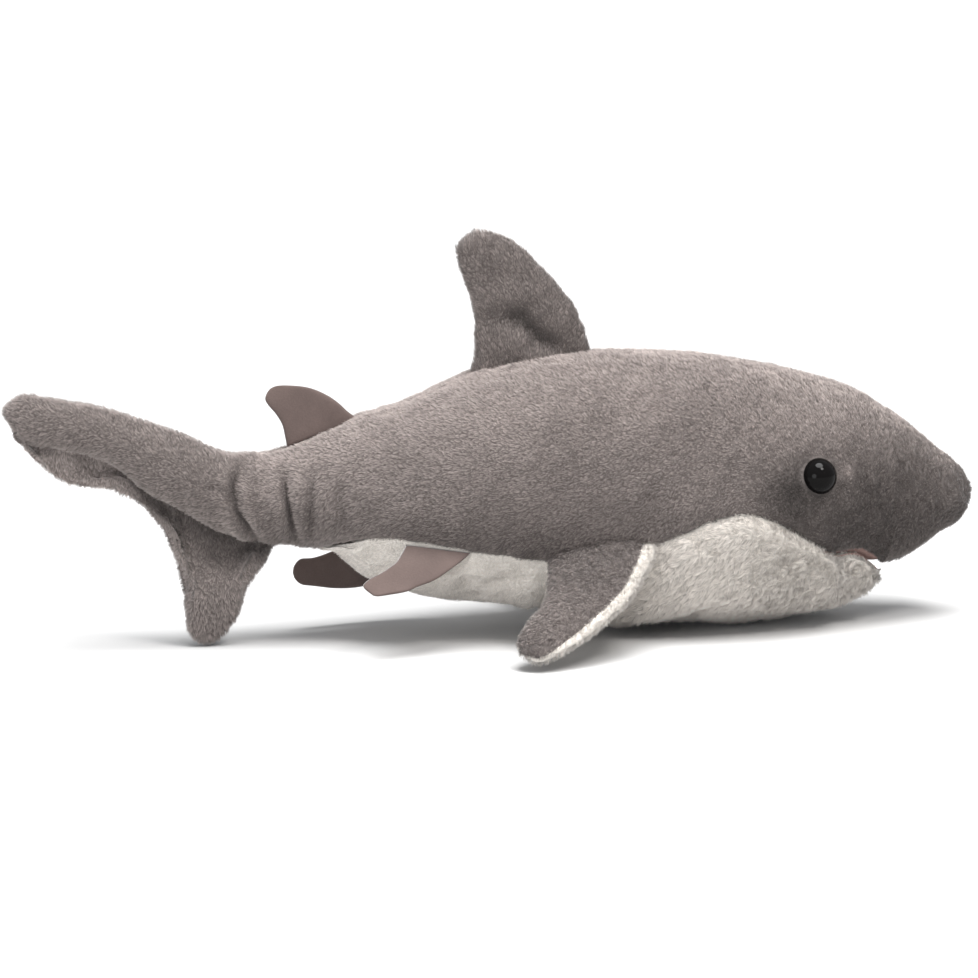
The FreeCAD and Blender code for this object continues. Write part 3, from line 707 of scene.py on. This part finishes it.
def plush_material(name, colour, mottle, strands, root_shade=0.45):
    """Plush cloth, or its strands: mottled, scaled by the painted light and shade of the panel's 'shade'
    values, and with painted shade towards the strands' roots.
    """
    material, nodes, shader = new_material(name)
    broad = nodes.maths("MULTIPLY_ADD", place_noise(nodes, 60.0), mottle, 1 - mottle / 2)
    small = nodes.maths("MULTIPLY_ADD", place_noise(nodes, 420.0), mottle * 1.6, 1 - mottle * 0.8)
    # The panel's painted light and shade scales the colour.
    tone = nodes.maths("MULTIPLY", nodes.maths("MULTIPLY", broad, small), nodes.attribute("shade"))
    if strands:
        info = nodes.add("ShaderNodeHairInfo")
        # Painted shade towards each strand's root, where the pile shades itself.
        depth = nodes.maths("MULTIPLY_ADD", info.outputs["Intercept"], 1.15 - root_shade, root_shade)
        own = nodes.maths("MULTIPLY_ADD", info.outputs["Random"], 0.16, 0.92)
        tuft = nodes.maths("MULTIPLY_ADD", nodes.attribute("tuft_tone"), mottle * 1.8, 1 - mottle * 0.9)
        own = nodes.maths("MULTIPLY", own, tuft)
        tone = nodes.maths("MULTIPLY", nodes.maths("MULTIPLY", tone, depth), own)
        skin = nodes.scaled(nodes.attribute("root_normal", "Vector"), 2.6)
        strand = nodes.add("ShaderNodeNewGeometry").outputs["Normal"]
        facing = nodes.vectors("NORMALIZE", nodes.vectors("ADD", skin, strand))
    else:
        facing = nodes.bump(place_noise(nodes, 900.0, 2.0), 0.5, 0.0008)
    nodes.fill(shader, {"Base Color": nodes.scaled(colour, tone), "Normal": facing, "Roughness": 0.85,
                        "Specular IOR Level": 0.15, "Sheen Weight": 0.35, "Sheen Roughness": 0.5})
    return material


def suede_material():
    """Flat suede cloth: fine nap, faintly streaked and rubbed lighter."""
    material, nodes, shader = new_material("suede_cloth")
    fine = place_noise(nodes, 1500.0, 4.0, 0.7)
    broad = place_noise(nodes, 70.0, 3.0, 0.55)
    blend = nodes.maths("MULTIPLY_ADD", broad, 0.55, nodes.maths("MULTIPLY", fine, 0.35))
    colour = nodes.ramp(blend, (0.2, (0.082, 0.061, 0.056)), (0.75, (0.150, 0.112, 0.101)))
    nodes.fill(shader, {"Base Color": colour, "Normal": nodes.bump(fine, 0.35, 0.0002), "Roughness": 0.95,
                        "Specular IOR Level": 0.1, "Sheen Weight": 0.5, "Sheen Roughness": 0.4})
    return material


def lining_material():
    """Brushed knit that lines the mouth."""
    material, nodes, shader = new_material("mouth_cloth")
    fine = place_noise(nodes, 1100.0, 3.0)
    colour = nodes.ramp(fine, (0.3, (0.24, 0.145, 0.128)), (0.7, (0.38, 0.25, 0.222)))
    nodes.fill(shader, {"Base Color": colour, "Normal": nodes.bump(fine, 0.4, 0.0003), "Roughness": 0.9})
    return material


def gloss_material():
    """Polished black plastic of the eyes, with the faint haze of handling."""
    material, nodes, shader = new_material("eye_gloss")
    smear = nodes.maths("MULTIPLY_ADD", place_noise(nodes, 260.0), 0.06, 0.03)
    nodes.fill(shader, {"Base Color": (0.004, 0.0035, 0.0035, 1), "Roughness": smear,
                        "Specular IOR Level": 0.08})
    return material


def washer_material():
    """Moulded plastic of the locking washers, with flow marks."""
    material, nodes, shader = new_material("washer_plastic")
    place = nodes.add("ShaderNodeTexCoord").outputs["Object"]
    flow = nodes.add("ShaderNodeTexNoise", {"Vector": place, "Scale": 500.0, "Detail": 3.0}).outputs[0]
    colour = nodes.ramp(flow, (0.0, (0.52, 0.52, 0.50)), (1.0, (0.66, 0.66, 0.63)))
    nodes.fill(shader, {"Base Color": colour, "Roughness": 0.55})
    return material


# ---------------- pile

def pile_nodes(piece, length, width, density, lean, clump, material):
    """Geometry Nodes that grow pile on a panel as it is posed, tufted and lying along its nap."""
    tree = bpy.data.node_groups.new(f"pile_{piece.name}", "GeometryNodeTree")
    tree.interface.new_socket("Geometry", in_out="INPUT", socket_type="NodeSocketGeometry")
    tree.interface.new_socket("Geometry", in_out="OUTPUT", socket_type="NodeSocketGeometry")
    nodes = Nodes(tree)

    def named(attribute, kind="FLOAT_VECTOR"):
        return nodes.add("GeometryNodeInputNamedAttribute", {"Name": attribute}, data_type=kind).outputs[0]

    def store(geometry, attribute, field):
        return nodes.add("GeometryNodeStoreNamedAttribute",
                         {"Geometry": geometry, "Name": attribute, "Value": field},
                         data_type="FLOAT_VECTOR", domain="POINT").outputs[0]

    def along_skin(vector, normal):
        """The part of a vector that lies along the skin."""
        return nodes.vectors("SUBTRACT", vector, nodes.vectors("PROJECT", vector, normal))

    posed = nodes.add("GeometryNodeObjectInfo", {"Object": piece}, transform_space="RELATIVE")
    size = named("pile", "FLOAT")
    grown = nodes.maths("GREATER_THAN", size, 0.06)
    sown = nodes.add("GeometryNodeDistributePointsOnFaces",
                     {"Mesh": posed.outputs["Geometry"], "Seed": 4,
                      "Density": nodes.maths("MULTIPLY", grown, density)})
    roots = store(sown.outputs["Points"], "root", nodes.add("GeometryNodeInputPosition").outputs[0])
    roots = store(roots, "root_normal", sown.outputs["Normal"])
    place = named("place")
    cells = nodes.add("ShaderNodeTexVoronoi", {"Vector": place, "Scale": 1 / clump})
    roots = store(roots, "tuft", nodes.vectors("SUBTRACT", cells.outputs["Position"], place))
    roots = store(roots, "tuft_tone", nodes.vectors("ADD", cells.outputs["Color"]))
    stray = nodes.add("FunctionNodeRandomValue", {0: (-1, -1, -1), 1: (1, 1, 1)}, data_type="FLOAT_VECTOR")
    roots = store(roots, "stray", stray.outputs[0])
    line = nodes.add("GeometryNodeCurvePrimitiveLine", {"Start": (0, 0, 0), "End": (0, 0, 1e-4)})
    strand = nodes.add("GeometryNodeResampleCurve", {"Curve": line.outputs[0], "Count": 4})
    planted = nodes.add("GeometryNodeInstanceOnPoints", {"Points": roots, "Instance": strand.outputs[0]})
    strands = nodes.add("GeometryNodeRealizeInstances", {"Geometry": planted.outputs[0]}).outputs[0]

    t = nodes.add("GeometryNodeSplineParameter").outputs["Factor"]
    normal = named("root_normal")
    uneven = nodes.add("ShaderNodeVectorMath", {0: named("stray")}, operation="LENGTH").outputs["Value"]
    longness = nodes.maths("MULTIPLY", nodes.maths("MULTIPLY", size, length),
                           nodes.maths("MULTIPLY_ADD", uneven, 0.25, 0.72))
    rise = nodes.scaled(normal, nodes.maths("MULTIPLY", t, longness))
    nap = nodes.vectors("NORMALIZE", along_skin(named("nap"), normal))
    tone = nodes.vectors("SUBTRACT", named("tuft_tone"), (0.5, 0.5, 0.5))
    nap = nodes.vectors("ADD", nap, nodes.scaled(along_skin(tone, normal), 0.9))
    bend = nodes.maths("MULTIPLY", nodes.maths("POWER", t, 1.6), nodes.maths("MULTIPLY", longness, lean))
    lay = nodes.scaled(nap, bend)
    squared = nodes.maths("MULTIPLY", t, t)
    gather = nodes.scaled(along_skin(named("tuft"), normal), nodes.maths("MULTIPLY", squared, 0.34))
    drift = nodes.maths("MULTIPLY", squared, nodes.maths("MULTIPLY", longness, 0.16))
    wander = nodes.scaled(named("stray"), drift)
    tip = nodes.vectors("ADD", nodes.vectors("ADD", rise, lay), nodes.vectors("ADD", gather, wander))
    spot = nodes.vectors("ADD", named("root"), tip)
    strands = nodes.add("GeometryNodeSetPosition", {"Geometry": strands, "Position": spot}).outputs[0]
    taper = nodes.maths("MULTIPLY", nodes.maths("SUBTRACT", 1.15, t), width / 2)
    strands = nodes.add("GeometryNodeSetCurveRadius", {"Curve": strands, "Radius": taper}).outputs[0]
    strands = nodes.add("GeometryNodeSetMaterial", {"Geometry": strands, "Material": material}).outputs[0]
    nodes.add("NodeGroupOutput", {0: strands})
    return tree


def grow(piece, kind):
    """Gives a panel its cloth and the strands that grow on it."""
    cloth, strand, length, density, lean, clump = kind
    piece.data.materials.append(cloth)
    curves = bpy.data.hair_curves.new(f"pile_{piece.name}")
    curves.materials.append(strand)
    pile = put(f"pile_{piece.name}", curves)
    sown = density * 1
    tree = pile_nodes(piece, length * MM, STRAND_WIDTH * MM, sown, lean, clump * MM, strand)
    pile.modifiers.new("Pile", "NODES").node_group = tree


# ---------------- pieces

grey_cloth = plush_material("grey_plush_cloth", (0.165, 0.142, 0.133), 0.16, False)
grey_strand = plush_material("grey_plush_pile", (0.425, 0.367, 0.343), 0.2, True, root_shade=0.36)
white_cloth = plush_material("white_plush_cloth", (0.66, 0.62, 0.57), 0.06, False)
white_strand = plush_material("white_plush_pile", (0.97, 0.905, 0.835), 0.05, True, root_shade=0.8)
# Pile: cloth, strand, strand length, strands a square metre, lean, tuft size.
STRAND_WIDTH = 0.15
GREY_PILE = (grey_cloth, grey_strand, 1.3, 6.0e6, 0.75, 1.1)
THROAT_PILE = (white_cloth, white_strand, 1.9, 5.4e6, 0.7, 2.2)
BELLY_PILE = (white_cloth, white_strand, 0.8, 5.0e6, 0.5, 1.0)
FIN_PILE = (grey_cloth, grey_strand, 1.3, 6.0e6, 0.75, 1.3)
UNDERSIDE_PILE = (white_cloth, white_strand, 1.5, 5.0e6, 0.5, 1.6)
suede = suede_material()
lining = lining_material()
gloss = gloss_material()
washer = washer_material()


def one_side(surface, side):
    """A surface made for the right-hand side, as it is there or mirrored to the left."""
    return surface if side < 0 else lambda x, v: flipped(surface(x, v))


def both_sides(surface):
    """A surface made for one side, carried round from the right seam to the left one; v runs from 0 to 1."""
    def place(x, v):
        right = surface(x, np.minimum(v, 1 - v) * 2)
        return np.where((v > 0.5)[..., None], flipped(right), right)
    return place


def columns_for(side, count):
    return np.linspace(0, 1, count) if side < 0 else np.linspace(1, 0, count)


for side, word in ((-1, "right"), (1, "left")):
    x = mix(TAIL_SEAM, BODY[-1][0], marks(330, nose=True))
    back = panel(f"back_{word}", one_side(back_point, side), x, columns_for(side, 130), (50, 22), 2.2,
                 (0.0, 0.0, 0.5, 1.0) if side < 0 else (0.0, 0.0, 1.0, 0.5), backwards, pile=back_pile,
                 creases=back_creases, shading=shade_at)
    grow(back, GREY_PILE)
    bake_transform(back)
    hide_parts(f"back_panel_{word}", f"tail_stock_panel_{word}",
                "torso_stuffing", "tail_stock_stuffing")

    x = mix(BODY[0][0], TAIL_SEAM, marks(110, tail=True))
    column = panel(f"tail_upper_{word}", one_side(back_point, side), x, columns_for(side, 70), (20, 14), 1.2,
                   (0.0, 0.0, 0.6, 0.6), backwards, creases=back_creases)
    grow(column, GREY_PILE)
    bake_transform(column)
    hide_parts(f"tail_fin_panel_{word}", "upper_lobe_stuffing", "lower_lobe_stuffing")

x = mix(WHITE_REAR, WHITE_SPLIT, marks(100))
belly = panel("belly", both_sides(white_point), x, np.linspace(0, 1, 110), (18, 20), 1.5,
              (0.3, 0.5, 0.9, 0.9), backwards, tuft=0.6, resting=True)
grow(belly, BELLY_PILE)
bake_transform(belly)
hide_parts("belly_panel", "tail_underside_panel")

x = mix(WHITE_SPLIT, CHIN_TIP, marks(160, nose=True))
throat = panel("throat", both_sides(white_point), x, np.linspace(0, 1, 170), (26, 28), 2.0,
               (0.5, 0.0, 0.8, 0.8), backwards, tuft=1.2, resting=True)
grow(throat, THROAT_PILE)
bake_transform(throat)
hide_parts("throat_panel", "chin_panel", "jaw_stuffing")


def lobe_surface(side):
    """The flap and the lower lobe; u runs along them and v from inside the tail to their edge."""
    table = np.array(LOBE, float)
    number = np.arange(len(table), dtype=float)

    def place(u, v):
        index = u * (len(table) - 1)
        columns = [smooth(np.stack([number, table[:, k]], -1), index) for k in range(5)]
        inner_x, inner_z, outer_x, outer_z, thick = columns
        reach = np.hypot(outer_x - inner_x, outer_z - inner_z)
        long_share = step(14, 30, reach)
        edge = np.sqrt(np.maximum(1 - np.clip((v - 0.6) / 0.4, 0, 1) ** 2, 0))
        hollow = mix(0.75, 0.30, long_share)
        body = mix(hollow, 1.0, step(0.12, 0.6, v))
        y = side * thick * body * edge
        return np.stack([mix(inner_x, outer_x, v), y, mix(inner_z, outer_z, v)], -1)

    return place


def downwards(points, along, across):
    return across * np.sign(-across[..., 2:3] + 1e-6)


for side, word in ((-1, "right"), (1, "left")):
    v = 1 - (1 - np.linspace(0, 1, 60)) ** 1.4
    u = np.linspace(0, 1, 220)
    if side > 0:
        v = v[::-1]
    lobe = panel(f"tail_lower_{word}", lobe_surface(side), u, v, (40, 12), 1.4,
                 (0.3, 0.3, 0.0, 0.6) if side < 0 else (0.3, 0.3, 0.6, 0.0), downwards,
                 shading=lobe_shade, allowance=0.7)
    grow(lobe, FIN_PILE)
    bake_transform(lobe)
    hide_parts(f"tail_fin_panel_{word}")


def dorsal_crease(points):
    return fold(points, *DORSAL_FOLD)


# Both sides of the dorsal fin get a painted shade of 0.92.
dorsal = make_fin(("dorsal_right", "dorsal_left"), DORSAL, DORSAL_ROOT, (0.92, 0.92), creases=dorsal_crease)
for piece, word in zip(dorsal, ("right", "left")):
    grow(piece, FIN_PILE)
    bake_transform(piece)
    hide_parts(f"dorsal_fin_panel_{word}", "dorsal_fin_stuffing")

for word, root in (("right", PECTORAL_ROOT), ("left", mirrored(PECTORAL_ROOT))):
    wrap = math.radians(38)
    order = ("under", "top") if word == "right" else ("top", "under")
    # Painted shade of 0.82 on the top of each pectoral fin; its underside keeps 1.0.
    painted_shades = [0.82 if kind == "top" else 1.0 for kind in order]
    fin = make_fin([f"pectoral_{kind}_{word}" for kind in order], PECTORAL, root, painted_shades,
                   front_wrap=wrap if word == "right" else -wrap)
    for piece, kind in zip(fin, order):
        grow(piece, FIN_PILE if kind == "top" else UNDERSIDE_PILE)
        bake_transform(piece)
        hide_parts(f"pectoral_{kind}_panel_{word}", f"pectoral_stuffing_{word}")


def suede_leaf(name, table, root, curl, rows=40, columns=36):
    """A flat sheet with rounded edges, slightly curled across its span."""
    origin, axes = frame_at(root)
    top = table[-1][0]
    span = mix(table[0][0], top, marks(rows, nose=True))
    c = np.linspace(0, 1, columns)
    grid_span, grid_c = np.meshgrid(span, c, indexing="ij")
    close = np.sqrt(np.maximum(1 - np.clip((grid_span - top + LEAF_TIP) / LEAF_TIP, 0, 1) ** 2, 0))
    rear, front = smooth(table, grid_span, 1), smooth(table, grid_span, 2)
    middle, half = (rear + front) / 2, (front - rear) / 2 * close
    x = middle + half * (2 * grid_c - 1)
    bow = curl * (grid_span / top) ** 2
    ripple = 0.25 * noise(np.stack([x, grid_span, 0 * x], -1), 9, 41)
    edge = 1 - (np.abs(2 * grid_c - 1)) ** 8
    ends = close * (grid_span > span[0])
    thick = LEAF_THICKNESS / 2 * np.sqrt(np.maximum(edge * ends, 0))
    sheets = []
    for side in (-1, 1):
        local = np.stack([x, bow + ripple + side * thick, grid_span], -1)
        sheets.append(origin + local @ axes)
    count = rows * columns
    one = quads(rows, columns)
    faces = np.concatenate([one, one[:, ::-1] + count])
    piece = make_mesh(name, np.concatenate([s.reshape(-1, 3) for s in sheets]), faces)
    weld = piece.modifiers.new("Weld", "WELD")
    weld.merge_threshold = 0.00002
    piece.data.materials.append(suede)
    flat = float(np.trapz(smooth(table, span, 2) - smooth(table, span, 1), span))
    width = float(smooth(table, span, 2).max() - smooth(table, span, 1).min())
    length = float(top - table[0][0])
    return piece, (width * MM, length * MM), flat * MM * MM


for name, table, root, body, curl in (
    ("rear_dorsal", REAR_DORSAL, REAR_DORSAL_ROOT, "rear_dorsal_fin", 0.8),
    ("pelvic_right", PELVIC_RIGHT, PELVIC_RIGHT_ROOT, "pelvic_fin_right", -1.5),
    ("pelvic_left", PELVIC_LEFT, PELVIC_LEFT_ROOT, "pelvic_fin_left", 1.0),
):
    leaf, size, area = suede_leaf(name, table, root, curl)
    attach(leaf, body)
    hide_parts(body)


def mouth_sheet(name, border, deep, body, node):
    """A lining of the mouth: a cloth the shape of the chin's plan, hollowed inside its border."""
    x = mix(104.0, CHIN_TIP - 0.4, marks(40, nose=True))
    c = np.linspace(-1, 1, 40)
    grid_x, grid_c = np.meshgrid(x, c, indexing="ij")
    edge = border(grid_x)
    y = -edge[..., 1] * grid_c * 0.985
    hollow = 1 - np.abs(grid_c) ** 3
    z = mix(edge[..., 2], deep(grid_x), hollow) + 0.12 * noise(np.stack([grid_x, y, 0 * y], -1), 5, 43)
    piece = make_mesh(name, np.stack([grid_x, y, z], -1), quads(40, 40)[:, ::-1])
    piece.data.materials.append(lining)
    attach(piece, body)
    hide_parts(node)


def palate_border(x):
    """Just inside the lip of the head."""
    return back_point(x, np.ones_like(x)) * np.array([1, 0.95, 1]) + np.array([0, 0, 0.9])


mouth_sheet("palate", palate_border, lambda x: smooth(HEAD_FLOOR, x) + 1.0, "torso", "palate_lining")
mouth_sheet("mouth_floor", chin_rim, lambda x: np.minimum(chin_rim(x)[..., 2], smooth(HEAD_FLOOR, x)) - 2.0,
            "jaw", "mouth_floor_lining")


def make_eye(word, side):
    """A domed safety eye on its flange."""
    point, out = eye_place(side)
    ball = (EYE_RADIUS**2 + EYE_RISE**2) / (2 * EYE_RISE)
    wide = math.asin(EYE_RADIUS / ball)
    steps, turns = 20, 48
    lifts = [wide * k / steps for k in range(steps + 1)]
    profile = [(ball * math.sin(lift), EYE_RISE - ball + ball * math.cos(lift)) for lift in lifts]
    profile += [(EYE_RADIUS - 0.15, -0.35), (EYE_RADIUS - 0.7, -0.6), (2.0, -0.6), (2.0, -2.4), (0.0, -2.4)]
    z = Vector(out)
    x = z.orthogonal().normalized()
    y = z.cross(x)
    seat = point - out * 1.0
    angles = np.linspace(0, 2 * math.pi, turns, endpoint=False)
    flat = np.cos(angles)[:, None] * np.array(x) + np.sin(angles)[:, None] * np.array(y)
    rings = [seat + flat * radius + out * height for radius, height in profile]
    faces = []
    for ring_number in range(len(profile) - 1):
        for turn in range(turns):
            a, b = ring_number * turns + turn, ring_number * turns + (turn + 1) % turns
            faces.append((a, a + turns, b + turns, b))
    eye = make_mesh(f"eye_dome_{word}", np.array(rings), np.array(faces))
    weld = eye.modifiers.new("Weld", "WELD")
    weld.merge_threshold = 0.00001
    eye.data.materials.append(gloss)
    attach(eye, "torso")
    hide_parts(f"eye_{word}")


make_eye("right", -1)
make_eye("left", 1)
for word in ("right", "left"):
    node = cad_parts[f"eye_washer_{word}"]
    for slot in node.material_slots:
        slot.material = washer


# ---------------- studio

def make_light(name, place, target, size, power, colour=(1, 1, 1)):
    data = bpy.data.lights.new(name, "AREA")
    data.shape = "DISK"
    data.size = size
    data.energy = power
    data.color = colour
    light = put(name, data)
    light.location = place
    light.rotation_mode = "QUATERNION"
    light.rotation_quaternion = (Vector(target) - Vector(place)).to_track_quat("-Z", "Y")


def make_floor():
    """A plain pale floor that goes on beyond the picture."""
    reach = 40.0
    mesh = bpy.data.meshes.new("floor")
    corners = [(-reach, -reach, 0), (reach, -reach, 0), (reach, reach, 0), (-reach, reach, 0)]
    mesh.from_pydata(corners, [], [(0, 1, 2, 3)])
    material, nodes, shader = new_material("floor_paint")
    nodes.fill(shader, {"Base Color": (0.56, 0.558, 0.555, 1), "Roughness": 0.9, "Specular IOR Level": 0.1})
    mesh.materials.append(material)
    floor = put("floor", mesh)


def make_studio():
    """Soft light from above, a key at the front right and a little fill from the front left."""
    make_floor()
    world = bpy.data.worlds.new("Studio")
    world.use_nodes = True
    world.node_tree.nodes["Background"].inputs[0].default_value = (0.95, 0.97, 1.0, 1)
    world.node_tree.nodes["Background"].inputs[1].default_value = 0.62
    bpy.context.scene.world = world
    bpy.context.scene.view_settings.view_transform = "Standard"
    middle = (0.0, 0.0, 0.05)
    make_light("key", (0.50, -0.80, 1.25), middle, 0.4, 11, (1.0, 0.975, 0.95))
    make_light("fill", (-0.9, -1.4, 0.35), middle, 0.8, 8, (0.97, 0.98, 1.0))
    sun = bpy.data.lights.new("top", "SUN")
    sun.energy = 4.8
    sun.angle = math.radians(35)
    high = put("top", sun)
    high.rotation_euler = (math.radians(9), math.radians(4), 0)


def make_camera():
    """A long lens a little above the toy, turned slightly towards its tail."""
    azimuth, elevation, roll = math.radians(-7.0), math.radians(8.5), math.radians(-1.3)
    distance, lens = 1.25, 135.5
    back = Vector((math.sin(azimuth) * math.cos(elevation), -math.cos(azimuth) * math.cos(elevation),
                   math.sin(elevation)))
    aim = Vector((-0.0014, 0.0, 0.0495))
    data = bpy.data.cameras.new("camera")
    data.lens = lens
    data.sensor_width = 36.0
    data.clip_start = 0.05
    camera = put("camera", data)
    camera.location = aim + back * distance
    camera.rotation_mode = "QUATERNION"
    across = Vector((math.cos(azimuth), math.sin(azimuth), 0))
    turn = Matrix((across, back.cross(across), back)).transposed() @ Matrix.Rotation(roll, 3, "Z")
    camera.rotation_quaternion = turn.to_quaternion()
    bpy.context.scene.camera = camera


make_studio()
make_camera()
